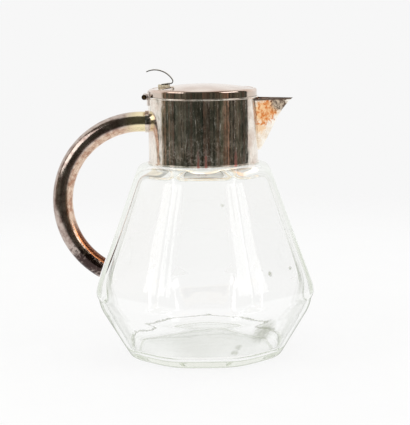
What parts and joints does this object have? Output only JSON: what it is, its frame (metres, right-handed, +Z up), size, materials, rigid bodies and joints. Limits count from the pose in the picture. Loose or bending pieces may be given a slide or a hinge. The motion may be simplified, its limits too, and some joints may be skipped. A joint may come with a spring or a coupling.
{
  "type": "orangeade jug",
  "caption": "Faceted glass table jug with a plated collar, V-shaped spout, open loop handle and a hinged lid with a curled thumbpiece.",
  "frame": {"origin": "centre of the jug's foot, on the surface it stands on", "axes": "+Z up along the jug's axis, +X towards the spout, -X towards the handle and the lid's hinge"},
  "size_m": [0.2161, 0.1788, 0.239],
  "materials": {
    "clear_glass": "clear pressed glass, fire polished",
    "plaster": "matte set plaster",
    "silver_plate": "polished silver plate with light tarnish",
    "stained_silver_plate": "silver plate with orange stains",
    "handle_silver_plate": "worn silver plate",
    "pin_brass": "dull drawn brass"
  },
  "bodies": {
    "jug": {"glass_body": "clear_glass", "neck_cement": "plaster", "collar": "silver_plate", "collar_top_bead": "silver_plate", "collar_foot_bead": "silver_plate", "spout": "stained_silver_plate", "handle_shell_front": "handle_silver_plate", "handle_shell_back": "handle_silver_plate", "handle_end_cap": "handle_silver_plate", "handle_ferrule": "handle_silver_plate", "collar_hinge": "silver_plate", "hinge_pin": "pin_brass"},
    "lid": {"lid_hinge": "silver_plate", "lid_rim": "silver_plate", "lid_dome": "silver_plate", "lid_inner_skirt": "silver_plate", "thumbpiece": "silver_plate", "thumbpiece_foot": "silver_plate"}
  },
  "joints": [
    {"name": "lid_opening", "type": "hinge", "parent": "jug", "child": "lid", "pos_m": [-0.0482, 0, 0.2164], "axis": [0, -1, 0], "range_deg": [0, 100]}
  ]
}
